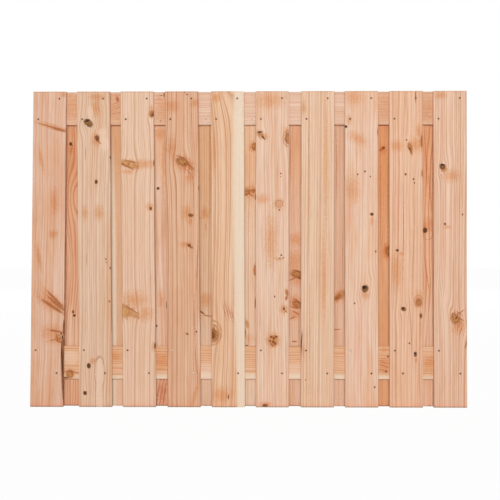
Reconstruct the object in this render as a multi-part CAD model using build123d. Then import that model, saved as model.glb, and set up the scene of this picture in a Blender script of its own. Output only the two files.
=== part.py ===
from build123d import *

import os
from collections import namedtuple
from math import hypot

# Double-sided fence panel in Douglas fir: upright boards nailed to both faces of two rails.
# The front boards stand apart, and the back boards cover the gaps between them, so that the
# rails are clamped between the two layers. Every crossing has two nails on a diagonal.
#
# Frame, in millimetres: X runs along the panel, +Y points to the back, Z is up. The origin
# lies on the ground line, at mid-length and at mid-thickness.

# Panel
PANEL_WIDTH = 1790.0  # over the outer front boards
PANEL_HEIGHT = 1300.0  # the boards are sawn flush at both ends
FRONT_BOARDS = 10

# Boards and rails, planed stock with eased arrises
BOARD_WIDTH = 136.0
BOARD_THICKNESS = 16.0
BOARD_ARRIS = 1.5
RAIL_WIDTH = 136.0
RAIL_THICKNESS = 16.0
RAIL_ARRIS = 1.5
RAIL_END_INSET = 8.0  # the rails stop short of the outer boards' edges
BOTTOM_RAIL_CLEARANCE = 114.0  # ground line to the underside of the bottom rail

# Nails, with a square shank and a flat head that is driven below the face
NAIL_SHANK = 2.4
NAIL_POINT = 5.0
NAIL_HEAD_DIAMETER = 6.4
NAIL_HEAD_THICKNESS = 1.2
NAIL_HEAD_SIDES = 10
NAIL_SINK = 1.0
NAIL_COVER = 1.0  # wood left in the rail beyond the point
NAIL_FROM_LEFT_EDGE = 21.0  # seen from the side that the nail is driven from
NAIL_FROM_RIGHT_EDGE = 28.0

# Nail heights: how far in from the upper and from the lower edge of a rail
TOP_RAIL_UPPER_NAIL = 29.0
TOP_RAIL_LOWER_NAIL = 22.0
BOTTOM_RAIL_UPPER_NAIL = 16.0
BOTTOM_RAIL_LOWER_NAIL = 26.0
BACK_NAIL_FROM_RAIL_EDGE = 46.0  # clear of the nails from the front

# One lower nail was driven far from the edge of its board
STRAY_NAIL = ("front", 9, "bottom")
STRAY_NAIL_SHIFT = -54.0

# The front boards were nailed on by eye: sideways shift of each at its lower and upper end
Shift = namedtuple("Shift", "bottom top")
FRONT_BOARD_SHIFTS = (
    Shift(-9.0, 5.0),
    Shift(10.0, 1.0),
    Shift(7.5, -3.0),
    Shift(8.0, -3.0),
    Shift(6.5, 2.5),
    Shift(3.0, 3.0),
    Shift(4.5, 7.0),
    Shift(3.0, 2.0),
    Shift(2.0, 0.5),
    Shift(-0.5, -3.0),
)
NO_SHIFT = Shift(0.0, 0.0)

# Wane: the round of the log, left where a front board was cut at its outside.
# side is +1 on the right edge and -1 on the left, height is to the middle of the hollow.
Wane = namedtuple("Wane", "board side height length on_face on_edge")
WANES = (
    Wane(board=1, side=1, height=180.0, length=270.0, on_face=13.0, on_edge=11.0),
    Wane(board=7, side=-1, height=255.0, length=150.0, on_face=6.0, on_edge=8.0),
)

# Hollows where a dead knot has shrunk or fallen out of a front board.
# across is from the board's middle to the right, tilt is anticlockwise from level.
KnotHollow = namedtuple("KnotHollow", "board across height long short tilt depth")
KNOT_HOLLOWS = (
    KnotHollow(board=2, across=-31.0, height=1180.0, long=25.0, short=10.0, tilt=28.0, depth=7.0),
    KnotHollow(board=6, across=-49.0, height=1122.0, long=31.0, short=5.0, tilt=-42.0, depth=5.0),
    KnotHollow(board=8, across=13.0, height=491.0, long=19.0, short=14.0, tilt=-35.0, depth=8.0),
)

# Planes of the three layers, front to back
RAIL_FRONT = -RAIL_THICKNESS / 2
RAIL_BACK = RAIL_THICKNESS / 2
FRONT_FACE = RAIL_FRONT - BOARD_THICKNESS
BACK_FACE = RAIL_BACK + BOARD_THICKNESS

BOARD_PITCH = (PANEL_WIDTH - BOARD_WIDTH) / (FRONT_BOARDS - 1)
BACK_BOARDS = FRONT_BOARDS - 1
TOP_RAIL_UNDERSIDE = PANEL_HEIGHT - RAIL_WIDTH
NAIL_LENGTH = BOARD_THICKNESS + RAIL_THICKNESS - NAIL_SINK - NAIL_COVER

NailRow = namedtuple("NailRow", "from_upper_edge from_lower_edge")
FRONT_NAILS_IN_TOP_RAIL = NailRow(TOP_RAIL_UPPER_NAIL, TOP_RAIL_LOWER_NAIL)
FRONT_NAILS_IN_BOTTOM_RAIL = NailRow(BOTTOM_RAIL_UPPER_NAIL, BOTTOM_RAIL_LOWER_NAIL)
BACK_NAILS_IN_RAIL = NailRow(BACK_NAIL_FROM_RAIL_EDGE, BACK_NAIL_FROM_RAIL_EDGE)

NailPlace = namedtuple("NailPlace", "x z")


class Board:
    """Where one upright board stands: the X of its middle, at any height."""

    def __init__(self, x, shift):
        self.bottom_x = x + shift.bottom
        self.top_x = x + shift.top

    def middle_at(self, z):
        return self.bottom_x + (self.top_x - self.bottom_x) * z / PANEL_HEIGHT


def front_layout():
    """The front boards from left to right, at an even pitch but for their shifts."""
    first_x = (BOARD_WIDTH - PANEL_WIDTH) / 2
    return [
        Board(first_x + number * BOARD_PITCH, FRONT_BOARD_SHIFTS[number % len(FRONT_BOARD_SHIFTS)])
        for number in range(FRONT_BOARDS)
    ]


def back_layout():
    """The back boards, each over the middle of a gap in the front."""
    first_x = (BOARD_WIDTH - PANEL_WIDTH + BOARD_PITCH) / 2
    return [Board(first_x + number * BOARD_PITCH, NO_SHIFT) for number in range(BACK_BOARDS)]


def ease_arrises(solid, axis, arris):
    """Eases the long arrises of a board or rail: those within a leaning board's angle of an axis."""
    nearly_parallel = 0.9
    edges = [e for e in solid.edges() if abs(e.tangent_at(0.5).dot(axis)) > nearly_parallel]
    return chamfer(edges, arris)


def board_blank(board, face_y):
    """One upright board, leaning as it was nailed, sawn level at both ends."""
    half = BOARD_WIDTH / 2
    outline = Polyline(
        (board.bottom_x - half, face_y, 0),
        (board.bottom_x + half, face_y, 0),
        (board.top_x + half, face_y, PANEL_HEIGHT),
        (board.top_x - half, face_y, PANEL_HEIGHT),
        close=True,
    )
    blank = extrude(make_face(outline), amount=BOARD_THICKNESS, dir=(0, 1, 0))
    return ease_arrises(blank, Vector(0, 0, 1), BOARD_ARRIS)


def rail_blank(underside):
    """One rail, lying on edge between the two layers of boards."""
    length = PANEL_WIDTH - 2 * RAIL_END_INSET
    blank = Pos(0, 0, underside + RAIL_WIDTH / 2) * Box(length, RAIL_THICKNESS, RAIL_WIDTH)
    return ease_arrises(blank, Vector(1, 0, 0), RAIL_ARRIS)


def nail_outline():
    return RegularPolygon(NAIL_HEAD_DIAMETER / 2, NAIL_HEAD_SIDES)


def nail_blank():
    """A nail pointing along +Z, with the top of its head at the origin."""
    section = Rectangle(NAIL_SHANK, NAIL_SHANK)
    point_start = NAIL_LENGTH - NAIL_POINT
    head = extrude(nail_outline(), NAIL_HEAD_THICKNESS)
    shank = Pos(0, 0, NAIL_HEAD_THICKNESS) * extrude(section, point_start - NAIL_HEAD_THICKNESS)
    point = loft([(Pos(0, 0, point_start) * section).face(), Vertex(0, 0, NAIL_LENGTH)])
    return head + shank + point


def dent_blank():
    """The dent above a nail's head, up to the face that it was driven through."""
    return Pos(0, 0, -NAIL_SINK) * extrude(nail_outline(), NAIL_SINK)


def nail_places(board, underside, row, rising, towards_back, stray):
    """The two nails of one crossing. Rising: the right one is the upper, seen from their own side."""
    upper = underside + RAIL_WIDTH - row.from_upper_edge
    lower = underside + row.from_lower_edge
    left = NAIL_FROM_LEFT_EDGE - BOARD_WIDTH / 2
    right = BOARD_WIDTH / 2 - NAIL_FROM_RIGHT_EDGE
    upper_across, lower_across = (right, left) if rising else (left, right)
    pairs = [(upper_across, upper), (lower_across + stray, lower)]
    hand = 1 if towards_back else -1
    return [NailPlace(board.middle_at(z) + hand * across, z) for across, z in pairs]


def drive(blank, place, towards_back):
    """Sets a nail, or its dent, into the front or the back of the panel."""
    face_y = FRONT_FACE + NAIL_SINK if towards_back else BACK_FACE - NAIL_SINK
    into = (0, 1, 0) if towards_back else (0, -1, 0)
    return Plane(origin=(place.x, face_y, place.z), x_dir=(1, 0, 0), z_dir=into) * blank


def wane_cutter(board, wane):
    """A wide drum that hollows one front arris, deepest at the wane's height."""
    slope = hypot(wane.on_face, wane.on_edge)
    depth = wane.on_face * wane.on_edge / slope
    radius = wane.length**2 / (8 * depth) + depth / 2
    corner = Vector(board.middle_at(wane.height) + wane.side * BOARD_WIDTH / 2, FRONT_FACE, wane.height)
    outward = Vector(wane.side * wane.on_edge, -wane.on_face, 0).normalized()
    bevel = Vector(wane.side * wane.on_face, wane.on_edge, 0).normalized()
    drum = Plane(origin=corner + outward * (radius - depth), x_dir=(0, 0, 1), z_dir=bevel)
    return drum * Cylinder(radius, 2 * slope)


def knot_cutter(board, hollow):
    """An oval pocket in the front face."""
    x = board.middle_at(hollow.height) + hollow.across
    mouth = Plane(origin=(x, FRONT_FACE, hollow.height), x_dir=(1, 0, 0), z_dir=(0, -1, 0))
    oval = Rot(0, 0, hollow.tilt) * Ellipse(hollow.long / 2, hollow.short / 2)
    return mouth * extrude(oval, -hollow.depth)


def natural_faults(number, board):
    """What the log left in one front board: its wane and its open knots."""
    wanes = [wane_cutter(board, wane) for wane in WANES if wane.board == number]
    knots = [knot_cutter(board, hollow) for hollow in KNOT_HOLLOWS if hollow.board == number]
    return wanes + knots


def save(name, shape):
    export_step(shape, os.path.join("parts", name + ".step"))


def main():
    os.makedirs("parts", exist_ok=True)
    nail = nail_blank()
    dent = dent_blank()
    undersides = {"top": TOP_RAIL_UNDERSIDE, "bottom": BOTTOM_RAIL_CLEARANCE}
    front_rows = {"top": FRONT_NAILS_IN_TOP_RAIL, "bottom": FRONT_NAILS_IN_BOTTOM_RAIL}
    back_rows = {"top": BACK_NAILS_IN_RAIL, "bottom": BACK_NAILS_IN_RAIL}
    rails = {level: rail_blank(underside) for level, underside in undersides.items()}

    layers = (
        ("front", front_layout(), FRONT_FACE, front_rows, True),
        ("back", back_layout(), RAIL_BACK, back_rows, False),
    )
    for layer, boards, face_y, rows, towards_back in layers:
        nails = {level: [] for level in undersides}
        for number, board in enumerate(boards, start=1):
            solid = board_blank(board, face_y)
            if layer == "front":
                for cutter in natural_faults(number, board):
                    solid -= cutter
            for level, underside in undersides.items():
                rising = level == "top"
                stray = STRAY_NAIL_SHIFT if (layer, number, level) == STRAY_NAIL else 0.0
                for place in nail_places(board, underside, rows[level], rising, towards_back, stray):
                    driven = drive(nail, place, towards_back)
                    solid = solid - driven - drive(dent, place, towards_back)
                    rails[level] -= driven
                    nails[level].append(driven)
            save(f"{layer}_board_{number:02d}", solid)
        for level, driven in nails.items():
            save(f"{layer}_nails_{level}_rail", Compound(children=driven))
    for level, rail in rails.items():
        save(f"{level}_rail", rail)


main()
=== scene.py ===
import math
from collections import namedtuple

import bmesh
import bpy
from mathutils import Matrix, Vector


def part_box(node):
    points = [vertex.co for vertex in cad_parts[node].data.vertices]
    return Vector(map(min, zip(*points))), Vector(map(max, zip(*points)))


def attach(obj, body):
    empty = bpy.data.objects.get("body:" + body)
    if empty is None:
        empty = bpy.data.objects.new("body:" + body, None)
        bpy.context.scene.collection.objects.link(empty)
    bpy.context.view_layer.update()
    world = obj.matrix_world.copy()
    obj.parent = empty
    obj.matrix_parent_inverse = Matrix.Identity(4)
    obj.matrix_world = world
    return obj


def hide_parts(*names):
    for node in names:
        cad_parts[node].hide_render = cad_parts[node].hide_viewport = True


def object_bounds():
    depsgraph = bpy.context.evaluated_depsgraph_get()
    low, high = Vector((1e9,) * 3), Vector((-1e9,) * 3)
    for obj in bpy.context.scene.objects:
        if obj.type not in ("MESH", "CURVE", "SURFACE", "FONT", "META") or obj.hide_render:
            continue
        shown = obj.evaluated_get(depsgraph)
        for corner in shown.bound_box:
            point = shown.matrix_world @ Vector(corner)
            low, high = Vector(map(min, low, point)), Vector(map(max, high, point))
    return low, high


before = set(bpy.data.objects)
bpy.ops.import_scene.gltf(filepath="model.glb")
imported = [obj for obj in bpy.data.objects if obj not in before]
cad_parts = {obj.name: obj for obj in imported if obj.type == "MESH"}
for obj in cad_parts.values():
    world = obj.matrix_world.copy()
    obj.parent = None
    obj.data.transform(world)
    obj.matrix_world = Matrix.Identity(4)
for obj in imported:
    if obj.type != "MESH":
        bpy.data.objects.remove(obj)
cad_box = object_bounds()

# The panel's own measures, read from the frame. The front faces -Y.
MM = 0.001
LOW, HIGH = (Vector(corner) for corner in cad_box)
PANEL_HEIGHT = HIGH.z - LOW.z
FRONT_Y = LOW.y
FRONT_BOARDS = sorted(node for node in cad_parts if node.startswith("front_board"))
BACK_BOARDS = sorted(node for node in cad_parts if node.startswith("back_board"))
RAILS = ["top_rail", "bottom_rail"]
NAIL_NODES = sorted(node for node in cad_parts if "_nails_" in node)


# Tools for materials

WHITE = "#FFFFFF"


def linear(hex_colour):
    """An sRGB hex colour as linear RGBA."""
    channels = [int(hex_colour[i : i + 2], 16) / 255 for i in (1, 3, 5)]
    return [c / 12.92 if c <= 0.04045 else ((c + 0.055) / 1.055) ** 2.4 for c in channels] + [1.0]


def add(tree, kind, *inputs, out=0, sockets=(), **settings):
    """Adds a node with its settings. Inputs, in order or by name, are values or sockets to link."""
    node = tree.nodes.new("ShaderNode" + kind)
    for name, value in settings.items():
        setattr(node, name, value)
    for key, value in [*enumerate(inputs), *dict(sockets).items()]:
        if isinstance(value, bpy.types.NodeSocket):
            tree.links.new(value, node.inputs[key])
        else:
            node.inputs[key].default_value = value
    return node.outputs[out] if node.outputs else node


def new_group(name, inputs, outputs):
    """An empty node group with named sockets, and its two end nodes."""
    group = bpy.data.node_groups.new(name, "ShaderNodeTree")
    for direction, sockets in (("INPUT", inputs), ("OUTPUT", outputs)):
        for label, kind in sockets.items():
            group.interface.new_socket(label, in_out=direction, socket_type="NodeSocket" + kind)
    start = group.nodes.new("NodeGroupInput")
    end = group.nodes.new("NodeGroupOutput")
    return group, start.outputs, end.inputs


def new_material(name):
    material = bpy.data.materials.new(name)
    material.use_nodes = True
    material.node_tree.nodes.clear()
    return material, material.node_tree


# Knots and other marks in the wood. Sizes are in millimetres on the face of the timber.

# core, rim and halo: colours from the inside out, each with its strength; the halo tints the wood.
# reach: how far the halo goes past the rim, in radii. bend: how strongly the grain parts round the
# mark. ragged: how uneven its edge is.
KnotKind = namedtuple(
    "KnotKind",
    "core core_strength rim rim_strength rim_width halo halo_strength reach bend ragged",
    defaults=(WHITE, 0.0, WHITE, 0.0, 0.3, WHITE, 0.0, 0.5, 0.0, 0.9),
)
# Resin that has soaked the wood near a knot: amber, with edges that fray along the grain.
HAZE = KnotKind(halo="#F5D9BE", halo_strength=0.95, ragged=1.4)
# Deeper amber wood, in long stretches. Near the tops of the back boards, under the top rail, it is painted
# warm shade.
DEEP_AMBER_AND_SHADE = KnotKind(halo="#FBEBD8", halo_strength=0.9, ragged=1.4)
# Pinker wood, in long stripes.
BLUSH = KnotKind(halo="#FFEFEE", halo_strength=0.9, ragged=1.4)
# A resin line or a band of red heartwood.
PITCH = KnotKind(halo="#DDB9A6", halo_strength=0.9, reach=0.4, ragged=1.4)
# A strip of sapwood, cream, with lines too pale to see.
SAP = KnotKind("#E9D6BF", 0.88, "#E5CDB2", ragged=0.15)
# Pale wood between two wide growth rings. Low on the back boards it is painted light, lifting the shade below
# the bottom rail.
PALE_WOOD_AND_LIGHT = KnotKind("#EBCBB3", 0.5, "#E8C5AA", ragged=0.2)
# A growth ring squeezed against a knot.
RING = KnotKind(rim="#A56C3A", rim_strength=0.7, rim_width=0.13, ragged=0.3)
# The next ring in.
INNER_RING = KnotKind(rim="#9C6232", rim_strength=0.75, rim_width=0.2, ragged=0.3)
# A branch that lies just off the board and still bends its grain.
GHOST = KnotKind(bend=1.0)
# A branch cut along its length: golden, speckled, with soft edges.
GOLDEN = KnotKind(
    "#D29A60", 0.75, "#94592A", 0.4, halo="#F4D4B0", halo_strength=0.9, reach=1.2, bend=0.35, ragged=1.3
)
# A thin sliver of such a branch: red-brown.
SPIKE = KnotKind("#B06A3A", 0.8, "#7E4420", 0.6, halo="#F2D0B0", halo_strength=0.9, reach=1.5, bend=0.2)
# A living branch: orange-brown, ringed, with amber wood round it.
SOUND = KnotKind("#C4854A", 0.9, "#7A421C", 0.8, halo="#F0CCA6", halo_strength=0.95, reach=1.4, bend=0.6)
# A small dead branch: plain brown.
BROWN = KnotKind("#84502C", 0.95, "#4E2812", 0.8, halo="#F0CDA6", halo_strength=0.9, reach=1.2, bend=0.5)
# A dead branch with resin in it: dark brown to black.
DEAD = KnotKind("#5E3416", 0.97, "#2A1206", 0.9, halo="#F0CDA6", halo_strength=0.9, reach=1.0, bend=0.7)
# A dead branch that has shrunk loose: a brown core in a black rim, painted shade standing in for the gap
# round it.
LOOSE = KnotKind("#96622E", 0.95, "#2A1206", 0.9, halo="#F0CDA6", halo_strength=0.8, reach=0.8, bend=0.7)
# Brown inner bark where the saw met the outside of the log.
WANE = KnotKind("#8A5836", 0.9, "#5E361C", 0.7, halo="#F0CDA6", halo_strength=0.7, reach=0.6, ragged=0.7)
# Black bark beside a dead branch; where it stands for a hole, the black is painted shade.
BARK_AND_HOLE_SHADE = KnotKind("#2E170A", 0.95, "#3C2110", 0.6, halo="#F0CDA6", halo_strength=0.6, ragged=0.8)
# A twig no thicker than a match.
PIN = KnotKind("#62361A", 0.95, "#3A1C0C", 0.6, halo="#F4DCC4", halo_strength=0.7, reach=1.2, bend=0.4)
# Wood stained by a nail head.
NAIL_MARK = KnotKind("#7A5238", 0.7, "#5A3A24", 0.4, halo="#F0DAC8", halo_strength=0.4, reach=0.8)
# In the order of painting
KNOT_KINDS = (
    HAZE, DEEP_AMBER_AND_SHADE, BLUSH, PITCH, SAP, PALE_WOOD_AND_LIGHT, RING, INNER_RING, GOLDEN, SPIKE, SOUND, BROWN, DEAD, LOOSE,
    WANE, BARK_AND_HOLE_SHADE, PIN, NAIL_MARK,
)

# across is from the middle of the timber, height from the ground, tilt anticlockwise in degrees.
Knot = namedtuple("Knot", "kind across height wide tall tilt", defaults=(0,))

FRONT_KNOTS = {
    1: [
        # the spike below the head
        Knot(HAZE, 5, 1158, 125, 24, -16), Knot(SPIKE, 12, 1153, 110, 4, -16),
        Knot(SPIKE, 40, 1144, 54, 10, -15),
        # the fan of slivers at the right edge
        Knot(HAZE, 8, 435, 110, 66, -40), Knot(HAZE, 32, 428, 90, 44, -40),
        Knot(SPIKE, 33, 443, 88, 9, -45),
        Knot(SPIKE, 36, 427, 84, 8, -40), Knot(SPIKE, 22, 413, 92, 11, -33),
        Knot(SPIKE, 44, 416, 56, 7, -36),
        # the swirl and the bark edge below it
        Knot(HAZE, 20, 305, 100, 74), Knot(HAZE, 34, 282, 70, 56), Knot(SPIKE, 40, 313, 50, 5, -12),
        Knot(PITCH, 26, 312, 60, 6, -14), Knot(PITCH, 22, 276, 54, 6, 16), Knot(GOLDEN, 46, 288, 20, 22),
        Knot(SPIKE, 41, 284, 4, 30, 12), Knot(SPIKE, 48, 270, 24, 5, -18), Knot(SPIKE, 50, 281, 16, 3, 35),
        Knot(BARK_AND_HOLE_SHADE, 57, 303, 6, 9, 30), Knot(BARK_AND_HOLE_SHADE, 63, 288, 6, 14), Knot(WANE, 66, 264, 8, 36),
        Knot(WANE, 67, 326, 5, 60),
        Knot(WANE, 66, 150, 13, 240, 2), Knot(BARK_AND_HOLE_SHADE, 61, 196, 4, 120, 3),
        # uneven colour
        Knot(HAZE, -32, 1018, 16, 115, 11), Knot(HAZE, -38, 618, 21, 115, 11), Knot(HAZE, 22, 849, 36, 125),
        Knot(HAZE, 20, 713, 40, 34), Knot(HAZE, 56, 1287, 28, 24),
    ],
    2: [
        Knot(HAZE, 15, 1278, 66, 28), Knot(HAZE, 10, 1232, 40, 74), Knot(HAZE, -38, 800, 25, 66),
        Knot(HAZE, 20, 800, 40, 66), Knot(HAZE, -9, 190, 36, 24, 25),
        # the pale tongue at the foot
        Knot(PALE_WOOD_AND_LIGHT, 18, 140, 38, 128), Knot(PALE_WOOD_AND_LIGHT, 16, 40, 28, 260), Knot(RING, 18, 140, 42, 136),
        Knot(RING, 16, 40, 31, 268),
        Knot(LOOSE, -21, 1170, 36, 25, -40), Knot(BARK_AND_HOLE_SHADE, -26, 1180, 22, 8, 25),
        Knot(BROWN, 14, 1108, 16, 22, 20),
        Knot(SPIKE, 22, 1092, 20, 4, -45), Knot(HAZE, 8, 1100, 40, 56), Knot(PALE_WOOD_AND_LIGHT, 42, 1088, 42, 74, 15),
        Knot(PALE_WOOD_AND_LIGHT, 36, 1132, 44, 36), Knot(PALE_WOOD_AND_LIGHT, -14, 1216, 30, 60),
        Knot(DEAD, 9, 928, 11, 16), Knot(DEAD, -27, 170, 15, 20), Knot(DEAD, -43, 58, 13, 16),
        Knot(PITCH, -34, 1047, 4, 70), Knot(PITCH, -33, 610, 4, 58), Knot(PIN, 46, 610, 5, 7),
        Knot(PIN, 48, 596, 4, 5), Knot(PIN, 64, 573, 5, 8), Knot(PIN, 60, 435, 5, 9),
        Knot(PIN, 68, 1029, 5, 10),
    ],
    3: [
        # the two branches that come in from the left edge
        Knot(HAZE, 31, 1001, 100, 38), Knot(HAZE, -40, 970, 50, 22), Knot(GOLDEN, -42, 1003, 56, 24, -10),
        Knot(GOLDEN, -18, 994, 42, 20, -16), Knot(SPIKE, -26, 1012, 44, 4, -12),
        Knot(SPIKE, -44, 992, 50, 6, -26),
        Knot(PIN, -38, 1001, 7, 5), Knot(PIN, -60, 1003, 5, 5),
        Knot(HAZE, -15, 441, 115, 76), Knot(HAZE, 28, 386, 66, 66), Knot(GOLDEN, -54, 393, 62, 46, -18),
        Knot(GOLDEN, -24, 382, 50, 18, -26), Knot(SPIKE, -30, 402, 62, 4, -31),
        Knot(SOUND, 61, 1207, 17, 24, -25), Knot(BROWN, 63, 1203, 9, 13, -20),
        Knot(HAZE, 60, 1226, 22, 40), Knot(BROWN, 53, 818, 10, 12),
        Knot(HAZE, 50, 826, 34, 34), Knot(WANE, 68, 1005, 6, 24), Knot(HAZE, 62, 248, 22, 38),
        Knot(WANE, 66, 252, 7, 22),
    ],
    4: [
        Knot(HAZE, -40, 1240, 62, 54), Knot(HAZE, 55, 1252, 34, 38), Knot(HAZE, -41, 1067, 40, 90),
        Knot(HAZE, 16, 993, 84, 60, -25), Knot(HAZE, 32, 948, 40, 60, -20),
        Knot(SOUND, 1, 1010, 48, 29, -20),
        Knot(PITCH, 38, 978, 44, 8, -40), Knot(PITCH, 28, 968, 44, 8, -48),
        Knot(SPIKE, 34, 992, 34, 5, -38),
        Knot(SPIKE, -4, 1030, 40, 4, -20), Knot(PIN, 10, 1003, 7, 5),
        Knot(HAZE, 18, 800, 40, 60), Knot(HAZE, 32, 768, 18, 40), Knot(BROWN, 34, 790, 19, 12),
        Knot(HAZE, 13, 668, 54, 26), Knot(BROWN, 26, 666, 14, 11, -30), Knot(SPIKE, 35, 658, 13, 8, -20),
        Knot(BROWN, 15, 302, 11, 6, -35), Knot(PIN, 53, 311, 7, 7), Knot(HAZE, 45, 50, 16, 105, -12),
        Knot(PITCH, 41, 1182, 5, 260, 1), Knot(PITCH, 45, 902, 5, 180, 2), Knot(PITCH, 59, 585, 6, 288, -3),
        Knot(PITCH, 45, 351, 6, 206), Knot(PITCH, 50, 194, 6, 172, 4), Knot(PALE_WOOD_AND_LIGHT, 63, 268, 13, 255),
        Knot(WANE, 69, 903, 6, 19), Knot(PIN, 23, 1287, 9, 4, -10), Knot(PIN, 14, 1295, 4, 4),
    ],
    5: [
        Knot(GHOST, 42, 1345, 120, 80), Knot(SAP, 48, 860, 60, 1700), Knot(SAP, 55, 150, 46, 1300),
        Knot(HAZE, -54, 1059, 16, 165), Knot(HAZE, -47, 1273, 40, 40), Knot(HAZE, -26, 51, 84, 66),
        Knot(SOUND, -62, 300, 34, 48), Knot(BROWN, -63, 297, 14, 24), Knot(INNER_RING, -63, 304, 50, 70),
        Knot(RING, -64, 307, 72, 100),
        Knot(PITCH, -15, 394, 7, 84, 14), Knot(PITCH, -4, 394, 7, 88, 14), Knot(PITCH, 7, 390, 7, 88, 14),
        Knot(PITCH, 17, 384, 7, 78, 12), Knot(PIN, 0, 42, 4, 20),
    ],
    6: [
        Knot(HAZE, -5, 1264, 124, 74), Knot(HAZE, 56, 1136, 22, 38), Knot(HAZE, -24, 1112, 26, 30),
        Knot(HAZE, -42, 857, 62, 42), Knot(HAZE, -5, 688, 50, 206),
        Knot(GOLDEN, -47, 1121, 34, 22, -42), Knot(BARK_AND_HOLE_SHADE, -50, 1133, 20, 6, 6),
        Knot(BARK_AND_HOLE_SHADE, -36, 1109, 22, 6, -52),
        Knot(SOUND, 67, 1106, 30, 42), Knot(RING, 68, 1106, 48, 66),
        Knot(INNER_RING, 28, 838, 30, 28), Knot(RING, 27, 839, 16, 14), Knot(HAZE, 30, 836, 52, 46),
        Knot(PIN, 29, 812, 6, 7),
        Knot(PIN, 37, 626, 7, 7), Knot(PIN, 31, 613, 7, 5), Knot(SPIKE, 44, 614, 12, 4, 40),
        Knot(HAZE, 15, 612, 46, 14, -20),
        Knot(SPIKE, 60, 472, 11, 24, 10), Knot(SPIKE, 58, 450, 9, 18, -10), Knot(HAZE, 48, 404, 36, 42),
        Knot(BROWN, 48, 406, 9, 10), Knot(RING, 48, 404, 25, 28), Knot(SPIKE, 57, 394, 12, 4, -40),
        # a cluster of twigs
        Knot(HAZE, 5, 279, 62, 58), Knot(GOLDEN, 4, 275, 32, 38), Knot(BROWN, -4, 290, 9, 8),
        Knot(BROWN, 6, 284, 8, 10), Knot(BROWN, 15, 292, 9, 6),
        Knot(BROWN, 4, 270, 10, 9), Knot(BROWN, 11, 262, 8, 9), Knot(BROWN, -9, 273, 7, 6),
        Knot(SPIKE, 0, 256, 16, 6, -45), Knot(SPIKE, 19, 289, 12, 4, 40),
        Knot(HAZE, -26, 14, 50, 18), Knot(BROWN, -30, 8, 20, 10), Knot(PIN, 35, 962, 6, 6),
        Knot(PIN, 35, 949, 4, 4),
        Knot(PIN, 10, 456, 5, 8),
    ],
    7: [
        Knot(HAZE, -57, 1231, 20, 58), Knot(HAZE, 33, 1017, 20, 535), Knot(HAZE, 26, 524, 20, 370),
        Knot(HAZE, -57, 228, 12, 82), Knot(PITCH, -36, 976, 4, 658), Knot(PITCH, -33, 318, 3, 535),
        Knot(PALE_WOOD_AND_LIGHT, 62, 647, 12, 2400), Knot(WANE, -66, 262, 5, 96, -4), Knot(PIN, -49, 113, 5, 4),
    ],
    8: [
        Knot(HAZE, -31, 1276, 90, 66), Knot(HAZE, -52, 1181, 22, 38), Knot(HAZE, -14, 1104, 90, 44, -30),
        Knot(HAZE, -35, 885, 58, 108), Knot(HAZE, 42, 766, 16, 42), Knot(HAZE, 18, 462, 34, 34),
        Knot(BLUSH, -14, 257, 16, 452), Knot(BLUSH, -48, 791, 24, 124), Knot(BARK_AND_HOLE_SHADE, -64, 1154, 12, 11),
        Knot(LOOSE, 14, 488, 23, 28, -30), Knot(BARK_AND_HOLE_SHADE, 10, 494, 17, 14, -20), Knot(DEAD, 42, 794, 13, 12),
        Knot(PIN, -16, 958, 5, 7), Knot(PIN, 14, 970, 7, 8), Knot(PIN, 36, 949, 5, 6),
        Knot(PIN, 58, 641, 5, 9),
        Knot(PIN, -29, 428, 6, 7), Knot(PIN, 53, 84, 6, 8), Knot(SPIKE, 67, 1132, 5, 24),
    ],
    9: [
        Knot(HAZE, -37, 1074, 58, 50), Knot(HAZE, 53, 1136, 24, 66), Knot(HAZE, -42, 565, 54, 165),
        Knot(HAZE, -21, 631, 24, 20), Knot(HAZE, 58, 319, 12, 182), Knot(BLUSH, -39, 852, 20, 370),
        Knot(PALE_WOOD_AND_LIGHT, -65, 700, 8, 2600), Knot(PITCH, -11, 729, 4, 370), Knot(PITCH, 28, 606, 4, 370, -2),
        Knot(PITCH, -1, 1263, 4, 124), Knot(PITCH, 19, 319, 4, 288, 3), Knot(PITCH, 54, 134, 4, 246),
        Knot(SOUND, 16, 1069, 15, 30, 15), Knot(PIN, 16, 1064, 6, 7), Knot(SPIKE, 21, 1050, 7, 22, 12),
        Knot(PIN, 2, 1099, 7, 6),
        Knot(SPIKE, 64, 1094, 10, 44), Knot(HAZE, 40, 1080, 60, 60),
        Knot(SOUND, 51, 433, 18, 22), Knot(INNER_RING, 51, 434, 26, 31), Knot(RING, 51, 437, 38, 46),
        Knot(HAZE, 52, 440, 40, 90), Knot(BROWN, 60, 377, 10, 18),
        Knot(DEAD, -36, 646, 12, 9), Knot(LOOSE, -11, 405, 18, 16, -30), Knot(BARK_AND_HOLE_SHADE, -14, 408, 11, 9),
        Knot(LOOSE, 37, 219, 12, 18), Knot(BARK_AND_HOLE_SHADE, 36, 223, 9, 9), Knot(HAZE, 40, 196, 12, 24),
        Knot(PIN, -2, 958, 8, 9), Knot(PIN, 30, 938, 7, 7),
        Knot(PIN, 34, 923, 5, 8), Knot(SPIKE, 66, 961, 5, 24), Knot(PIN, 13, 264, 7, 7),
        Knot(SPIKE, 39, 1279, 4, 46),
    ],
    10: [
        Knot(HAZE, -37, 1283, 50, 34), Knot(HAZE, 7, 951, 74, 50), Knot(HAZE, -13, 741, 34, 16),
        Knot(GOLDEN, -25, 979, 18, 19, -40), Knot(LOOSE, -31, 989, 22, 21, -20),
        Knot(BARK_AND_HOLE_SHADE, -33, 997, 21, 7, 8),
        Knot(BROWN, -22, 754, 9, 8), Knot(PIN, 50, 793, 6, 8),
        Knot(SOUND, 21, 365, 28, 38, 30), Knot(RING, 21, 364, 40, 52, 30), Knot(PIN, 23, 368, 6, 9),
        Knot(SPIKE, 41, 391, 26, 4, 35), Knot(SPIKE, 37, 387, 22, 4, -35), Knot(SPIKE, 43, 364, 17, 4, -40),
        Knot(HAZE, 36, 332, 56, 64, -30), Knot(SPIKE, 65, 262, 5, 34, -20),
    ],
}
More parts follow.
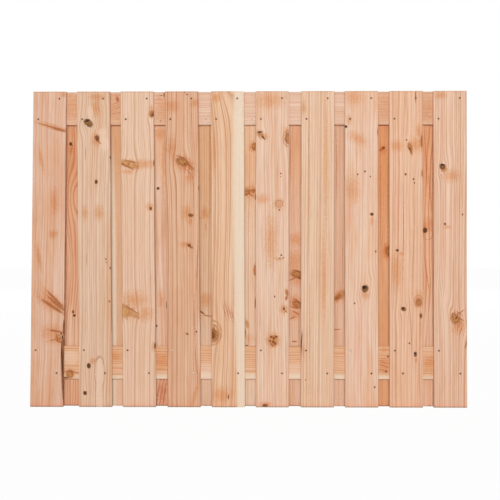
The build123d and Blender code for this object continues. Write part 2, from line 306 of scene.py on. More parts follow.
# At the feet of the back boards, the pale marks are painted light that lifts the shade below the bottom rail.
# Near the tops of the back boards, the deep amber marks are painted warm shade under the top rail.
BACK_KNOTS = {
    1: [
        Knot(HAZE, -6, 1063, 24, 42), Knot(DEAD, -7, 1088, 11, 13), Knot(PIN, -2, 1082, 7, 5, -40),
        Knot(BROWN, 3, 390, 9, 12), Knot(DEAD, 8, 375, 10, 10), Knot(PITCH, -27, 647, 6, 658),
        Knot(DEEP_AMBER_AND_SHADE, 0, 1060, 140, 480), Knot(GHOST, 34, 877, 64, 72), Knot(PALE_WOOD_AND_LIGHT, -9, 280, 24, 300),
        Knot(PALE_WOOD_AND_LIGHT, 16, 270, 14, 260),
    ],
    2: [Knot(SAP, -16, 300, 34, 1640), Knot(DEEP_AMBER_AND_SHADE, 0, 1090, 140, 300), Knot(PALE_WOOD_AND_LIGHT, 10, 40, 34, 300)],
    3: [
        Knot(HAZE, -3, 1129, 38, 58), Knot(HAZE, 11, 979, 16, 246), Knot(HAZE, 1, 440, 34, 82),
        Knot(DEEP_AMBER_AND_SHADE, 0, 1090, 140, 260),
        Knot(PALE_WOOD_AND_LIGHT, -9, 830, 22, 280), Knot(BLUSH, 13, 689, 16, 246), Knot(DEAD, -11, 903, 11, 11),
        Knot(WANE, 25, 419, 5, 30), Knot(PIN, -17, 332, 7, 9),
        Knot(HAZE, 4, 55, 66, 150), Knot(BLUSH, 4, 55, 66, 150), Knot(PITCH, -10, 60, 8, 150, -9),
        Knot(PITCH, 4, 60, 8, 150, -9), Knot(PITCH, 17, 60, 8, 150, -9),
    ],
    4: [
        Knot(DEEP_AMBER_AND_SHADE, 0, 1040, 140, 560), Knot(PALE_WOOD_AND_LIGHT, -13, 150, 28, 480), Knot(PALE_WOOD_AND_LIGHT, 14, 160, 26, 440),
        Knot(HAZE, 0, 796, 38, 50),
        Knot(PITCH, 4, 738, 5, 58, 5), Knot(HAZE, 4, 440, 50, 58),
        Knot(BROWN, -12, 388, 22, 6, -38), Knot(SPIKE, 12, 374, 30, 4, -6),
    ],
    5: [
        Knot(SOUND, 21, 1076, 17, 30), Knot(HAZE, 14, 1076, 34, 40), Knot(PIN, 5, 1072, 4, 4),
        Knot(HAZE, 3, 888, 50, 64), Knot(GOLDEN, -11, 888, 26, 28), Knot(SPIKE, 2, 893, 26, 6, 16),
        Knot(SPIKE, -8, 880, 24, 6, 30), Knot(SPIKE, 6, 876, 26, 4, -35), Knot(SPIKE, 18, 892, 16, 14, 25),
        Knot(WANE, 26, 867, 6, 24),
        Knot(SOUND, 24, 564, 12, 36), Knot(WANE, 26, 427, 6, 44), Knot(GOLDEN, -9, 340, 12, 30, 12),
        Knot(SPIKE, -17, 303, 5, 28), Knot(PIN, -10, 252, 10, 4), Knot(HAZE, 3, 282, 40, 44),
        Knot(DEEP_AMBER_AND_SHADE, 0, 1000, 140, 560), Knot(PALE_WOOD_AND_LIGHT, 9, 370, 24, 280),
    ],
    6: [
        Knot(DEEP_AMBER_AND_SHADE, 0, 1070, 140, 320), Knot(DEEP_AMBER_AND_SHADE, -22, 20, 44, 200), Knot(HAZE, 8, 690, 62, 62),
        Knot(HAZE, 4, 600, 62, 100), Knot(HAZE, 14, 520, 56, 50), Knot(HAZE, 8, 430, 58, 60),
        Knot(HAZE, 6, 384, 58, 54),
        Knot(SOUND, 12, 547, 42, 24, -8), Knot(SPIKE, 16, 560, 32, 5, -12),
        Knot(SPIKE, 12, 536, 38, 5, -24),
        Knot(BROWN, 25, 531, 8, 9), Knot(SPIKE, -6, 526, 24, 4, 24),
        Knot(SOUND, 15, 422, 38, 22, -24), Knot(SPIKE, 16, 436, 32, 5, -32),
        Knot(SPIKE, 6, 408, 30, 5, -16),
        Knot(SPIKE, 12, 386, 28, 4, -30), Knot(SPIKE, -4, 366, 24, 4, 26),
        Knot(SPIKE, 4, 268, 18, 5), Knot(PITCH, 22, 316, 5, 165), Knot(PITCH, -14, 1020, 4, 246),
    ],
    7: [
        Knot(HAZE, 4, 455, 70, 50, 30), Knot(GOLDEN, 6, 458, 54, 24, 38), Knot(SPIKE, 0, 452, 26, 12, 40),
        Knot(PALE_WOOD_AND_LIGHT, -12, 50, 28, 300), Knot(PALE_WOOD_AND_LIGHT, 14, 40, 24, 300), Knot(PALE_WOOD_AND_LIGHT, 10, 350, 20, 260),
        Knot(SPIKE, -4, 318, 26, 3, 4), Knot(BLUSH, 0, 295, 42, 50), Knot(PITCH, -6, 978, 4, 328),
        Knot(PITCH, 18, 606, 4, 328),
    ],
    8: [
        Knot(HAZE, 2, 1061, 30, 34), Knot(BROWN, 4, 1070, 12, 10), Knot(SPIKE, -6, 1062, 14, 5, 20),
        Knot(HAZE, 17, 643, 40, 62), Knot(SOUND, 26, 643, 26, 38), Knot(WANE, 28, 652, 7, 22),
        Knot(DEEP_AMBER_AND_SHADE, 0, 1040, 140, 480), Knot(PITCH, -8, 854, 4, 494), Knot(PITCH, 22, 854, 4, 370),
    ],
    9: [
        Knot(DEAD, -8, 729, 16, 21), Knot(RING, 4, 713, 38, 46), Knot(HAZE, 4, 751, 50, 58),
        Knot(PITCH, -4, 1019, 5, 246, 3), Knot(PITCH, 12, 895, 5, 246, 5), Knot(PITCH, 0, 544, 5, 165, 8),
        Knot(PITCH, 6, 378, 5, 246, 1), Knot(PITCH, -1, 316, 4, 165),
        Knot(PALE_WOOD_AND_LIGHT, -17, 330, 22, 340), Knot(PALE_WOOD_AND_LIGHT, 2, 330, 14, 340), Knot(PALE_WOOD_AND_LIGHT, 17, 330, 13, 340),
        Knot(PALE_WOOD_AND_LIGHT, -12, 40, 40, 230), Knot(PALE_WOOD_AND_LIGHT, 20, 40, 14, 230),
        Knot(DEEP_AMBER_AND_SHADE, 0, 1060, 140, 400),
    ],
}
# On a rail, across is up from the rail's middle, and height is along it from the panel's middle.
RAIL_KNOTS = {
    "top_rail": [
        Knot(HAZE, 40, -545, 42, 28), Knot(SPIKE, 38, -545, 22, 9, -15), Knot(PITCH, 23, -551, 4, 46, -25),
        Knot(PITCH, 12, -549, 4, 46, -24), Knot(PITCH, 2, -547, 4, 46, -20),
        Knot(PITCH, -18, -547, 4, 50, -12),
        Knot(HAZE, 39, -369, 58, 38), Knot(WANE, 56, -352, 20, 5), Knot(PIN, 54, -363, 4, 8),
        Knot(HAZE, 11, -734, 165, 165), Knot(HAZE, 2, -551, 165, 124), Knot(HAZE, 2, -361, 165, 66),
        Knot(HAZE, 9, 556, 165, 90), Knot(HAZE, 8, 737, 165, 90), Knot(NAIL_MARK, -50, -367, 5, 5),
        Knot(NAIL_MARK, -44, -179, 5, 4), Knot(NAIL_MARK, -46, 11, 4, 4),
    ],
    "bottom_rail": [
        Knot(SAP, -72, 60, 62, 1900), Knot(SAP, -65, -186, 66, 400), Knot(SAP, -68, 188, 62, 300),
        Knot(SOUND, -48, -742, 30, 28), Knot(WANE, -63, -759, 7, 20),
        Knot(HAZE, 8, -361, 96, 66), Knot(HAZE, -5, 556, 76, 64), Knot(HAZE, 53, 556, 24, 50),
        Knot(HAZE, 0, 742, 64, 60), Knot(PALE_WOOD_AND_LIGHT, 20, -741, 60, 90), Knot(PALE_WOOD_AND_LIGHT, -24, -186, 46, 300),
        Knot(PALE_WOOD_AND_LIGHT, -24, 188, 46, 300), Knot(HAZE, 25, -556, 44, 60),
        Knot(BROWN, 26, 572, 7, 7), Knot(BROWN, -36, 564, 7, 8), Knot(PITCH, 3, 553, 5, 58, 12),
        Knot(PITCH, -13, 556, 5, 54, 18), Knot(PITCH, -30, 551, 4, 54, 12),
    ],
}

# Timbers. Every board came from another part of a log, so each has its own tone and rings.
# tone: the wood between the rings. pith_low and pith_high: where the heart of the log runs,
# across and behind the front face, at the two ends. ring: a year's growth, drawn wider than the
# real 4 to 6 mm so that the lines still show from a few metres. lines: how strongly the late wood
# shows. wander: how far the grain strays. streaks, blotches: strength of the uneven colour.
Timber = namedtuple("Timber", "tone pith_low pith_high ring lines wander streaks blotches")

FRONT_TIMBERS = {
    1: Timber("#E0B89E", (-150, 60), (-130, 80), 10.0, 0.50, 12, 0.9, 1.0),
    2: Timber("#E2C2A8", (-190, 50), (-170, 60), 8.5, 0.82, 9, 0.7, 0.6),
    3: Timber("#E6C4AA", (180, 30), (190, 30), 9.5, 0.80, 3, 0.5, 0.3),
    4: Timber("#E1B798", (-150, 20), (-140, 20), 8.5, 1.00, 5, 0.8, 0.6),
    5: Timber("#E7C1A1", (-110, 40), (-80, 25), 12.0, 1.00, 8, 0.6, 0.6),
    6: Timber("#E9C9B1", (170, 40), (150, 50), 10.0, 0.60, 8, 1.0, 0.6),
    7: Timber("#E8C7AB", (-210, 20), (-200, 20), 9.5, 0.70, 2, 0.8, 0.4),
    8: Timber("#EAC8B0", (140, 50), (150, 60), 9.5, 0.55, 9, 0.8, 0.8),
    9: Timber("#E9C0A2", (-120, 20), (-100, 30), 11.0, 0.75, 9, 0.7, 0.4),
    10: Timber("#E9C4AA", (-170, 20), (-160, 20), 9.5, 1.15, 3, 0.7, 0.3),
}
BACK_TIMBERS = {
    1: Timber("#E3B290", (-95, 30), (-70, 20), 11.0, 1.00, 26, 0.5, 0.5),
    2: Timber("#DFB491", (-190, 20), (-190, 20), 9.0, 0.20, 3, 0.3, 0.3),
    3: Timber("#EACAB1", (60, 16), (-20, 40), 13.0, 0.70, 8, 0.9, 0.9),
    4: Timber("#E1BD9C", (150, 20), (160, 20), 8.0, 0.70, 4, 0.4, 0.4),
    5: Timber("#EDD1B8", (-160, 20), (-150, 20), 9.0, 0.60, 6, 0.5, 0.6),
    6: Timber("#E6BEA2", (140, 20), (130, 20), 9.0, 0.50, 8, 0.6, 0.6),
    7: Timber("#E3BA9D", (-170, 20), (-170, 20), 8.0, 0.60, 3, 0.6, 0.4),
    8: Timber("#E3AA7E", (170, 20), (180, 20), 9.0, 0.50, 3, 0.5, 0.4),
    9: Timber("#EBBA96", (-95, 20), (-60, 20), 12.0, 1.00, 26, 0.5, 0.4),
}
RAIL_TIMBERS = {
    "top_rail": Timber("#E6C6AF", (170, 30), (180, 30), 6.0, 0.65, 3, 0.7, 0.4),
    "bottom_rail": Timber("#E8BE9A", (110, 24), (60, 24), 10.0, 1.00, 8, 0.6, 0.6),
}

# What each mark does to the tone it lies on, as linear factors
LATE_WOOD = (0.68, 0.48, 0.35, 1)
SALMON = (0.97, 0.84, 0.78, 1)
CREAM = (1.05, 1.12, 1.17, 1)
AMBER = (0.95, 0.82, 0.68, 1)
GREY = (0.78, 0.77, 0.78, 1)
ROSY = (1.15, 0.74, 0.76, 1)
# The darker colour of sawn end grain; the same tint in a band at the head is painted shade
SAWN_END_AND_EDGE_SHADE = (0.80, 0.64, 0.50, 1)
# Painted shade: a dark grey line along the foot of each timber
FOOT_EDGE_SHADE = (0.40, 0.58, 0.54, 1)

# Where a timber lies: a point on its front face, and the directions across, along and into it
Lie = namedtuple("Lie", "origin across along depth start end")


def board_lie(node):
    """A board's lie, from the middles of its two ends, since the boards lean a little."""
    low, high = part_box(node)
    points = [vertex.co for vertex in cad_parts[node].data.vertices]
    at_foot = [p.x for p in points if p.z < low.z + MM]
    at_head = [p.x for p in points if p.z > high.z - MM]
    foot = (min(at_foot) + max(at_foot)) / 2
    head = (min(at_head) + max(at_head)) / 2
    lean = (head - foot) / PANEL_HEIGHT
    origin = Vector((foot, low.y, low.z))
    return Lie(origin, (1, 0, -lean), (0, 0, 1), (0, 1, 0), 0.0, PANEL_HEIGHT / MM)


def rail_lie(node):
    """A rail's lie: level, measured along from the middle of the panel."""
    low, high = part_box(node)
    origin = Vector((0, low.y, (low.z + high.z) / 2))
    return Lie(origin, (0, 0, 1), (1, 0, 0), (0, 1, 0), low.x / MM, high.x / MM)


# Settings that several nodes share
MIX = dict(data_type="RGBA", out=2)
MULTIPLY = dict(MIX, blend_type="MULTIPLY")
SMOOTH = dict(interpolation_type="SMOOTHSTEP")
BASE, OVER = 6, 7  # the colour sockets of a mix
NOISE_MIDDLE = 0.5  # of the range from 0 to 1

# How a knot is painted. Places are in its radii from its middle.
HALO_FULL = 0.1
HALO_FRAY = 0.9
CORE_FULL, CORE_ENDS = 0.65, 1.1
KNOT_RINGS = 1.5  # a branch's own rings, from its dark heart to its rim
KNOT_RING_DARK = 0.3
# The part of the mottle's range that tells, and how dark or how faint it makes the paint
MOTTLE_LOW, MOTTLE_HIGH, MOTTLE_DARK = 0.38, 0.62, 0.5
RIM_LOW, RIM_HIGH, RIM_FAINTEST = 0.38, 0.58, 0.5
# The sockets that say where a knot is
KNOT_PLACE = {"Spot": "Vector", "Middle": "Vector", "Turn": "Vector", "Size": "Vector"}
GRAIN_SOFTENS = 0.5  # keeps the push finite at the middle of a knot


def knot_radii(group, given):
    """A spot as seen from a knot: turned with it and measured in its radii."""
    place = [given[socket] for socket in KNOT_PLACE]
    return add(group, "Mapping", *place, vector_type="TEXTURE")


def grain_round_knot():
    """Group: how far a knot pushes the grain aside. It starts to part well above and below the knot."""
    group, given, result = new_group(
        "Grain round a knot", {**KNOT_PLACE, "Shift": "Float", "Bend": "Float"}, {"Shift": "Float"}
    )
    flow = knot_radii(group, given)
    flow = add(group, "VectorMath", flow, flow, operation="DOT_PRODUCT", out="Value")
    flow = add(group, "Math", flow, GRAIN_SOFTENS, operation="ADD")
    aside = add(group, "VectorMath", given["Spot"], given["Middle"], operation="SUBTRACT")
    push = add(group, "Math", add(group, "SeparateXYZ", aside), flow, operation="DIVIDE")
    push = add(group, "Math", push, given["Bend"], operation="MULTIPLY")
    group.links.new(add(group, "Math", given["Shift"], push, operation="SUBTRACT"), result["Shift"])
    return group


def nearest_knot():
    """Group: how many radii a spot lies from the nearest knot so far."""
    group, given, result = new_group("Nearest knot", {**KNOT_PLACE, "Nearest": "Float"}, {"Nearest": "Float"})
    reach = add(group, "VectorMath", knot_radii(group, given), operation="LENGTH", out="Value")
    group.links.new(add(group, "Math", given["Nearest"], reach, operation="MINIMUM"), result["Nearest"])
    return group


def knot_stain():
    """Group: paints knots over the wood: an amber halo, a mottled, ringed core and a broken dark rim."""
    group, given, result = new_group(
        "Knot stain",
        {
            "Colour": "Color", "Reach": "Float", "Mottle": "Float", "Fray": "Float",
            "Core": "Color", "Core strength": "Float", "Rim": "Color", "Rim strength": "Float",
            "Rim width": "Float", "Halo": "Color", "Halo strength": "Float", "Halo reach": "Float",
            "Ragged": "Float",
        },
        {"Colour": "Color"},
    )
    mottle = given["Mottle"]
    stray = add(group, "Math", mottle, NOISE_MIDDLE, operation="SUBTRACT")
    reach = add(group, "Math", stray, given["Ragged"], given["Reach"], operation="MULTIPLY_ADD")
    fray = add(group, "Math", given["Fray"], NOISE_MIDDLE, operation="SUBTRACT")
    frayed = add(group, "Math", fray, HALO_FRAY, reach, operation="MULTIPLY_ADD")
    edge = add(group, "Math", given["Halo reach"], 1.0, operation="ADD")
    halo = add(group, "MapRange", frayed, HALO_FULL, edge, given["Halo strength"], 0.0, **SMOOTH)
    colour = add(group, "Mix", halo, sockets={BASE: given["Colour"], OVER: given["Halo"]}, **MULTIPLY)
    turns = add(group, "Math", reach, math.tau * KNOT_RINGS, operation="MULTIPLY")
    turns = add(group, "Math", turns, operation="COSINE")
    dark = add(group, "MapRange", mottle, MOTTLE_LOW, MOTTLE_HIGH, 0.0, MOTTLE_DARK)
    dark = add(group, "Math", turns, KNOT_RING_DARK, dark, operation="MULTIPLY_ADD")
    core = add(group, "Mix", dark, sockets={BASE: given["Core"], OVER: given["Rim"]}, **MIX)
    inside = add(group, "MapRange", reach, CORE_FULL, CORE_ENDS, given["Core strength"], 0.0, **SMOOTH)
    colour = add(group, "Mix", inside, sockets={BASE: colour, OVER: core}, **MIX)
    from_rim = add(group, "Math", add(group, "Math", reach, 1.0, operation="SUBTRACT"), operation="ABSOLUTE")
    rim = add(group, "MapRange", from_rim, 0.0, given["Rim width"], given["Rim strength"], 0.0, **SMOOTH)
    breaks = add(group, "MapRange", mottle, RIM_LOW, RIM_HIGH, RIM_FAINTEST, 1.0)
    rim = add(group, "Math", rim, breaks, operation="MULTIPLY")
    colour = add(group, "Mix", rim, sockets={BASE: colour, OVER: given["Rim"]}, **MIX)
    group.links.new(colour, result["Colour"])
    return group


GRAIN_ROUND_KNOT = grain_round_knot()
NEAREST_KNOT = nearest_knot()
KNOT_STAIN = knot_stain()
THROUGH = 1e4  # a knot runs right through the board
FAR = 1e4  # radii from a knot that isn't there


def place_knot(spot, knot, wider=1.0, longer=1.0):
    """The sockets that put a knot group in its place on a timber."""
    return {
        "Spot": spot, "Middle": (knot.across, knot.height, 0), "Turn": (0, 0, math.radians(knot.tilt)),
        "Size": (knot.wide / 2 * wider, knot.tall / 2 * longer, THROUGH),
    }


# Unevenness in the wood: how wide and long its patches are, in millimetres, and how finely they break up
Figure = namedtuple("Figure", "wide long detail")
WANDER = Figure(110, 420, 1.5)
STREAK = Figure(9, 400, 3.0)
BLOTCH = Figure(45, 240, 3.0)
GREYING = Figure(5, 180, 2.0)
MOTTLE = Figure(9, 9, 2.0)
# Real fibres are under 0.1 mm wide, and are drawn coarser so that they show.
FIBRE = Figure(1.6, 60, 2.0)
# From the unevenness of one timber to that of the next, in millimetres
SEED_STEP = Vector((211, 97, 53))

# How far round a knot the grain parts, in sizes of the knot. Thinner branches leave it straight.
PARTS_WIDE, PARTS_LONG = 1.25, 2.9
THINNEST_BENDING_KNOT = 10.0
# Good and bad spells: their length in millimetres of growth, and how many years they shift the rings
SPELL, SPELL_YEARS, SPELL_DETAIL = 40.0, 3.0, 2.0
FAINTEST_YEAR = 0.3
# The parts of a year's growth at which the late wood begins, is full and begins to fade
LATE_BEGINS, LATE_FULL, LATE_FADES = 0.25, 0.85, 0.88
# Late wood planes smoother than early wood. Dry wood hardly shines.
EARLY_ROUGHNESS, LATE_ROUGHNESS = 0.72, 0.60
DRY_SPECULAR = 0.2
FIBRE_RELIEF = 0.2
RELIEF_STRENGTH = 0.3


def figure(tree, grain, size):
    """Unevenness in the wood, in patches of a given size."""
    spot = add(tree, "VectorMath", grain, (1 / size.wide, 1 / size.long, 1 / size.wide), operation="MULTIPLY")
    return add(tree, "TexNoise", spot, sockets={"Scale": 1.0, "Detail": size.detail})


def late_wood(tree, lie, timber, place, seed):
    """How late in its year a spot has grown, from its distance to the heart of the log."""
    across, along, depth = place
    from_pith = []
    for measure, low, high in zip((across, depth), timber.pith_low, timber.pith_high):
        slope = (high - low) / (lie.end - lie.start)
        pith = add(tree, "Math", along, slope, low - slope * lie.start, operation="MULTIPLY_ADD")
        from_pith.append(add(tree, "Math", measure, pith, operation="SUBTRACT"))
    radius = add(tree, "VectorMath", add(tree, "CombineXYZ", *from_pith), operation="LENGTH", out="Value")
    spell = add(tree, "Math", radius, 1 / SPELL, seed, operation="MULTIPLY_ADD")
    sockets = {"W": spell, "Scale": 1.0, "Detail": SPELL_DETAIL}
    spell = add(tree, "TexNoise", sockets=sockets, noise_dimensions="1D")
    years = add(tree, "Math", radius, 1 / timber.ring, operation="MULTIPLY")
    years = add(tree, "Math", spell, SPELL_YEARS, years, operation="MULTIPLY_ADD")
    season = add(tree, "Math", years, operation="FRACT")
    rise = add(tree, "MapRange", season, LATE_BEGINS, LATE_FULL, 0.0, 1.0, **SMOOTH)
    fall = add(tree, "MapRange", season, LATE_FADES, 1.0, 1.0, 0.0, **SMOOTH)
    late = add(tree, "Math", rise, fall, operation="MULTIPLY")
    year = add(tree, "Math", add(tree, "Math", years, operation="FLOOR"), seed, operation="ADD")
    growth = add(tree, "TexWhiteNoise", sockets={"W": year}, noise_dimensions="1D")
    growth = add(tree, "MapRange", growth, 0.0, 1.0, FAINTEST_YEAR, 1.0)
    return add(tree, "Math", late, growth, operation="MULTIPLY")


def paint_knots(tree, colour, spot, knots, mottle, fray):
    """The wood's colour with its knots and other marks, one kind over the other."""
    for kind in KNOT_KINDS:
        marks = [knot for knot in knots if knot.kind == kind]
        if not marks:
            continue
        reach = FAR
        for knot in marks:
            sockets = {**place_knot(spot, knot), "Nearest": reach}
            reach = add(tree, "Group", node_tree=NEAREST_KNOT, sockets=sockets)
        sockets = {
            "Colour": colour, "Reach": reach, "Mottle": mottle, "Fray": fray,
            "Core": linear(kind.core), "Core strength": kind.core_strength,
            "Rim": linear(kind.rim), "Rim strength": kind.rim_strength, "Rim width": kind.rim_width,
            "Halo": linear(kind.halo), "Halo strength": kind.halo_strength, "Halo reach": kind.reach,
            "Ragged": kind.ragged,
        }
        colour = add(tree, "Group", node_tree=KNOT_STAIN, sockets=sockets)
    return colour


def planed_douglas_fir(name, lie, timber, knots, seed):
    """Planed, untreated Douglas fir: pale salmon early wood, thin red-brown late wood lines that run
    the length of the board and part round the knots, and a dry surface that hardly shines."""
    material, tree = new_material(name)
    spot = add(tree, "VectorMath", add(tree, "TexCoord", out="Object"), lie.origin, operation="SUBTRACT")
    spot = add(tree, "VectorMath", spot, sockets={"Scale": 1 / MM}, operation="SCALE")
    across, along, depth = (
        add(tree, "VectorMath", spot, direction, operation="DOT_PRODUCT", out="Value")
        for direction in (lie.across, lie.along, lie.depth)
    )
    spot = add(tree, "CombineXYZ", across, along, depth)
    apart = add(tree, "VectorMath", spot, seed * SEED_STEP, operation="ADD")

    shift = 0.0
    for knot in knots:
        if knot.kind.bend and min(knot.wide, knot.tall) > THINNEST_BENDING_KNOT:
            place = place_knot(spot, knot, PARTS_WIDE, PARTS_LONG)
            sockets = {**place, "Shift": shift, "Bend": knot.kind.bend}
            shift = add(tree, "Group", node_tree=GRAIN_ROUND_KNOT, sockets=sockets)
    wander = figure(tree, apart, WANDER)
    wander = add(tree, "Math", wander, 2 * timber.wander, -timber.wander, operation="MULTIPLY_ADD")
    bent = add(tree, "Math", add(tree, "Math", across, wander, operation="ADD"), shift, operation="ADD")
    grain = add(tree, "CombineXYZ", bent, along, depth)
    grain = add(tree, "VectorMath", grain, seed * SEED_STEP, operation="ADD")

    late = late_wood(tree, lie, timber, (bent, along, depth), seed)
    streak = figure(tree, grain, STREAK)
    blotch = figure(tree, grain, BLOTCH)
    grey = figure(tree, grain, GREYING)
    mottle = figure(tree, apart, MOTTLE)
    fibre = figure(tree, apart, FIBRE)
    from_foot = add(tree, "Math", along, lie.start, operation="SUBTRACT")
    from_head = add(tree, "Math", lie.end, along, operation="SUBTRACT")
    facing = add(tree, "TexCoord", out="Normal")
    facing = add(tree, "VectorMath", facing, lie.along, operation="DOT_PRODUCT", out="Value")
    end_grain = add(tree, "Math", facing, operation="ABSOLUTE")

    colour = linear(timber.tone)
    # What is measured, where a tint starts and where it is full, how strong it is, and the tint
    for measure, start, full, strength, tint in (
        (blotch, 0.45, 0.70, timber.blotches, AMBER),
        (streak, 0.50, 0.68, timber.streaks, SALMON),
        (streak, 0.48, 0.32, timber.streaks, CREAM),
        (grey, 0.56, 0.72, 0.6 * timber.streaks, GREY),
        (late, 0.0, 1.0, timber.lines, LATE_WOOD),
        (fibre, 0.5, 0.75, 0.3, LATE_WOOD),
        (from_foot, 22.0, 8.0, 0.35, ROSY),
        # painted shade: a dark band in the last few millimetres at the head
        (from_head, 5.0, 1.0, 0.8, SAWN_END_AND_EDGE_SHADE),
        # painted shade: a dark grey line in the last few millimetres at the foot
        (from_foot, 7.0, 3.0, 0.75, FOOT_EDGE_SHADE),
        (end_grain, 0.6, 0.8, 1.0, SAWN_END_AND_EDGE_SHADE),
    ):
        amount = add(tree, "MapRange", measure, start, full, 0.0, strength)
        colour = add(tree, "Mix", amount, sockets={BASE: colour, OVER: tint}, **MULTIPLY)
    colour = paint_knots(tree, colour, spot, knots, mottle, streak)

    rough = add(tree, "MapRange", late, 0.0, 1.0, EARLY_ROUGHNESS, LATE_ROUGHNESS)
    sockets = {"Strength": RELIEF_STRENGTH, "Distance": FIBRE_RELIEF * MM, "Height": fibre}
    bump = add(tree, "Bump", sockets=sockets)
    sockets = {"Base Color": colour, "Roughness": rough, "Specular IOR Level": DRY_SPECULAR, "Normal": bump}
    add(tree, "OutputMaterial", add(tree, "BsdfPrincipled", sockets=sockets))
    return material


# Nails: round heads on round shanks, in the places of the part's plain ones. Sizes are in millimetres.

NAIL_HEAD_RADIUS = 3.0
NAIL_HEAD_THICKNESS = 1.2
# The head falls away from its middle, a little up to the crown's edge and more from there to the rim.
NAIL_CROWN_RADIUS = 2.4
NAIL_CROWN_FALL = 0.075
NAIL_RIM_FALL = 0.3
NAIL_NECK = 0.4
NAIL_SHANK_RADIUS = 1.15
NAIL_POINT = 5.0
NAIL_SIDES = 16
NAIL_MARK_SIZE = 8.0
SAME_CORNER = 0.01  # corners nearer than this are one
DULL_PATCH = 4.0
DULL_BEGINS, DULL_FULL = 0.35, 0.65
BRIGHT_ROUGHNESS, DULL_ROUGHNESS = 0.45, 0.65
# The heads painted bright, as if they caught the light, counted from the left
BRIGHT_LIT_HEADS = {"front_nails_bottom_rail": (7, 8, 9, 15)}


def nail_boxes(node):
    """The low and high corners of each nail in a node, from left to right: its corners share edges."""
    shape = bmesh.new()
    shape.from_mesh(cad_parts[node].data)
    bmesh.ops.remove_doubles(shape, verts=shape.verts, dist=SAME_CORNER * MM)
    left = set(shape.verts)
    boxes = []
    while left:
        island = set()
        edge = {left.pop()}
        while edge:
            vertex = edge.pop()
            island.add(vertex)
            edge |= {e.other_vert(vertex) for e in vertex.link_edges} - island
        left -= island
        corners = list(zip(*(v.co for v in island)))
        boxes.append((Vector(map(min, corners)), Vector(map(max, corners))))
    shape.free()
    return sorted(boxes, key=lambda box: tuple(box[0]))


def drawn_steel(name, light, dark):
    """Drawn steel wire, dulled in patches by tannin from the wood, with a broad, weak shine."""
    material, tree = new_material(name)
    spot = add(tree, "TexCoord", out="Object")
    dull = add(tree, "TexNoise", spot, sockets={"Scale": 1 / (DULL_PATCH * MM), "Detail": 2.0})
    dull = add(tree, "MapRange", dull, DULL_BEGINS, DULL_FULL, 0.0, 1.0)
    colour = add(tree, "Mix", dull, sockets={BASE: linear(light), OVER: linear(dark)}, **MIX)
    rough = add(tree, "MapRange", dull, 0.0, 1.0, BRIGHT_ROUGHNESS, DULL_ROUGHNESS)
    shader = add(tree, "BsdfPrincipled", sockets={"Base Color": colour, "Metallic": 1.0, "Roughness": rough})
    add(tree, "OutputMaterial", shader)
    return material


def round_nails(node, steels):
    """Turned nails in one mesh, each head at the side from which its nail was driven."""
    shape = bmesh.new()
    side = -1 if node.startswith("front") else 1
    for number, (low, high) in enumerate(nail_boxes(node), start=1):
        middle = (low + high) / 2
        length = (high.y - low.y) / MM
        head_y = low.y if side < 0 else high.y
        profile = (
            (0.0, 0.0), (NAIL_CROWN_RADIUS, NAIL_CROWN_FALL), (NAIL_HEAD_RADIUS, NAIL_RIM_FALL),
            (NAIL_HEAD_RADIUS, NAIL_HEAD_THICKNESS), (NAIL_SHANK_RADIUS, NAIL_HEAD_THICKNESS + NAIL_NECK),
            (NAIL_SHANK_RADIUS, length - NAIL_POINT), (0.0, length),
        )
        rings = []
        for radius, along in profile:
            y = head_y - side * along * MM
            ring = []
            for step in range(NAIL_SIDES if radius else 1):
                angle = math.tau * step / NAIL_SIDES
                x = middle.x + radius * math.cos(angle) * MM
                z = middle.z + radius * math.sin(angle) * MM
                ring.append(shape.verts.new((x, y, z)))
            rings.append(ring)
        for near, far in zip(rings, rings[1:]):
            for step in range(NAIL_SIDES):
                after = (step + 1) % NAIL_SIDES
                corners = [near[step % len(near)], near[after % len(near)]]
                corners += [far[after % len(far)], far[step % len(far)]]
                face = shape.faces.new(list(dict.fromkeys(corners)))
                face.material_index = int(number in BRIGHT_LIT_HEADS.get(node, ()))
    bmesh.ops.recalc_face_normals(shape, faces=shape.faces)
    mesh = bpy.data.meshes.new(node + "_round")
    shape.to_mesh(mesh)
    shape.free()
    for steel in steels:
        mesh.materials.append(steel)
    mesh.shade_smooth()
    nails = bpy.data.objects.new(node + "_round", mesh)
    bpy.context.scene.collection.objects.link(nails)
    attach(nails, "root")
    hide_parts(node)


def nail_marks(node, lie):
    """The dark ring of stained wood round each nail head in a board."""
    low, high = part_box(node)
    side = "front" if node in FRONT_BOARDS else "back"
    marks = []
    for nails in NAIL_NODES:
        if not nails.startswith(side):
            continue
        for corner_low, corner_high in nail_boxes(nails):
            place = (corner_low + corner_high) / 2
            if low.x < place.x < high.x:
                spot = (place - lie.origin) / MM
                across = spot.dot(Vector(lie.across))
                along = spot.dot(Vector(lie.along))
                marks.append(Knot(NAIL_MARK, across, along, NAIL_MARK_SIZE, NAIL_MARK_SIZE))
    return marks


def wood_node(node, lie, timber, knots, seed):
    wood = planed_douglas_fir(f"Planed Douglas fir, {node}", lie, timber, knots, seed)
    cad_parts[node].material_slots[0].material = wood


# Seeds count on from these, so that no two timbers are uneven in the same way.
BACK_SEED, RAIL_SEED = 20, 40
for number, node in enumerate(FRONT_BOARDS, start=1):
    lie = board_lie(node)
    knots = FRONT_KNOTS[number] + nail_marks(node, lie)
    wood_node(node, lie, FRONT_TIMBERS[number], knots, number)
for number, node in enumerate(BACK_BOARDS, start=1):
    lie = board_lie(node)
    knots = BACK_KNOTS[number] + nail_marks(node, lie)
    wood_node(node, lie, BACK_TIMBERS[number], knots, BACK_SEED + number)
for number, node in enumerate(RAILS, start=1):
    wood_node(node, rail_lie(node), RAIL_TIMBERS[node], RAIL_KNOTS[node], RAIL_SEED + number)
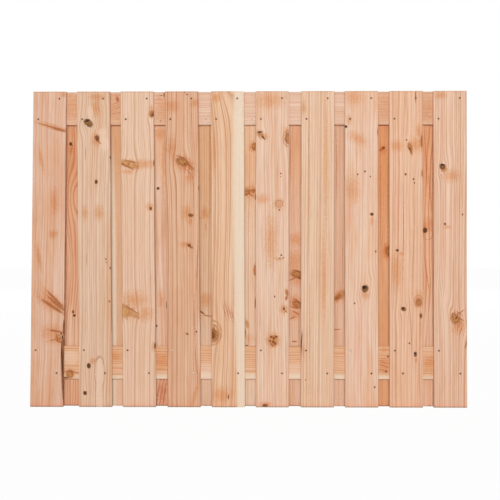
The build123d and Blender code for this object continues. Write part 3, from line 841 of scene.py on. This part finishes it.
# Painted light and shade on the nails: the browned steel is tannin brown, darkened further as painted shade,
# and the grey steel is painted bright, as heads that catch the light.
steels = [
    drawn_steel("Drawn nail steel, browned and shaded", "#6A5040", "#4A3426"),
    drawn_steel("Drawn nail steel, painted bright", "#E6DCD2", "#D0C5BB"),
]
for node in NAIL_NODES:
    round_nails(node, steels)

# Stage: a white floor and a white room

FLOOR_SIZE = 60.0
FLOOR_PAINT = "#F4F4F4"
FLOOR_GLOW = 0.97  # how much of the floor's own shading the white covers
FULL_WHITE = 1.0
AMBIENT = 0.28
SOFTBOX_SIZE = (5.2, 3.2)
SOFTBOX_AWAY = 12.0
SOFTBOX_UP = 3.6
FRONT_WATTS = 972.0
BACK_WATTS = 690.0


def seen_in_picture(tree):
    """1 on a ray that makes the picture, straight, mirrored or refracted, 0 on one that lights a surface."""
    path = add(tree, "LightPath").node.outputs
    seen = add(tree, "Math", path["Is Camera Ray"], path["Is Glossy Ray"], operation="MAXIMUM")
    return add(tree, "Math", seen, path["Is Transmission Ray"], operation="MAXIMUM")


def white_paint():
    """Matt white paint. The camera sees it near white, with a trace of the panel's soft shadow on it."""
    material, tree = new_material("Matt white floor paint")
    glow = add(tree, "Math", seen_in_picture(tree), FLOOR_GLOW, operation="MULTIPLY")
    paint = add(tree, "BsdfDiffuse", linear(FLOOR_PAINT))
    white = add(tree, "Emission", linear(WHITE), FULL_WHITE)
    add(tree, "OutputMaterial", add(tree, "MixShader", glow, paint, white))
    return material


floor_mesh = bpy.data.meshes.new("studio_floor")
half = FLOOR_SIZE / 2
corners = [(x, y, LOW.z) for x, y in ((-half, -half), (half, -half), (half, half), (-half, half))]
floor_mesh.from_pydata(corners, [], [range(4)])
floor_mesh.materials.append(white_paint())
floor = bpy.data.objects.new("studio_floor", floor_mesh)
bpy.context.scene.collection.objects.link(floor)

world = bpy.data.worlds.new("White studio")
bpy.context.scene.world = world
world.use_nodes = True
tree = world.node_tree
tree.nodes.clear()
room = add(tree, "Background", linear(WHITE), AMBIENT)
backdrop = add(tree, "Background", linear(WHITE), FULL_WHITE)
add(tree, "OutputWorld", add(tree, "MixShader", seen_in_picture(tree), room, backdrop))

middle = (LOW + HIGH) / 2
for name, side, watts in (("front_softbox", -1, FRONT_WATTS), ("back_softbox", 1, BACK_WATTS)):
    lamp = bpy.data.lights.new(name, "AREA")
    lamp.shape = "RECTANGLE"
    lamp.size, lamp.size_y = SOFTBOX_SIZE
    lamp.energy = watts
    softbox = bpy.data.objects.new(name, lamp)
    softbox.location = (0.0, side * SOFTBOX_AWAY, SOFTBOX_UP)
    softbox.rotation_euler = (middle - softbox.location).to_track_quat("-Z", "Y").to_euler()
    bpy.context.scene.collection.objects.link(softbox)

# Camera: level, in front, a little to the right of square
FRAME_PIXELS = 500
MM_PER_PIXEL = 4.113
PANEL_MIDDLE = (249.2, 249.3)  # in the frame, in pixels
CAMERA_DISTANCE = 4.0
CAMERA_YAW = math.radians(0.7)
SENSOR = 36.0

pixel = MM_PER_PIXEL * MM
aim = Vector((
    (FRAME_PIXELS / 2 - PANEL_MIDDLE[0]) * pixel,
    FRONT_Y,
    PANEL_HEIGHT / 2 - (FRAME_PIXELS / 2 - PANEL_MIDDLE[1]) * pixel,
))
camera_data = bpy.data.cameras.new("camera")
camera_data.sensor_width = SENSOR
camera_data.lens = SENSOR * CAMERA_DISTANCE / (FRAME_PIXELS * pixel)
camera = bpy.data.objects.new("camera", camera_data)
camera.location = aim + CAMERA_DISTANCE * Vector((math.sin(CAMERA_YAW), -math.cos(CAMERA_YAW), 0))
camera.rotation_euler = (math.pi / 2, 0, CAMERA_YAW)
bpy.context.scene.collection.objects.link(camera)
bpy.context.scene.camera = camera
bpy.context.scene.view_settings.view_transform = "Standard"
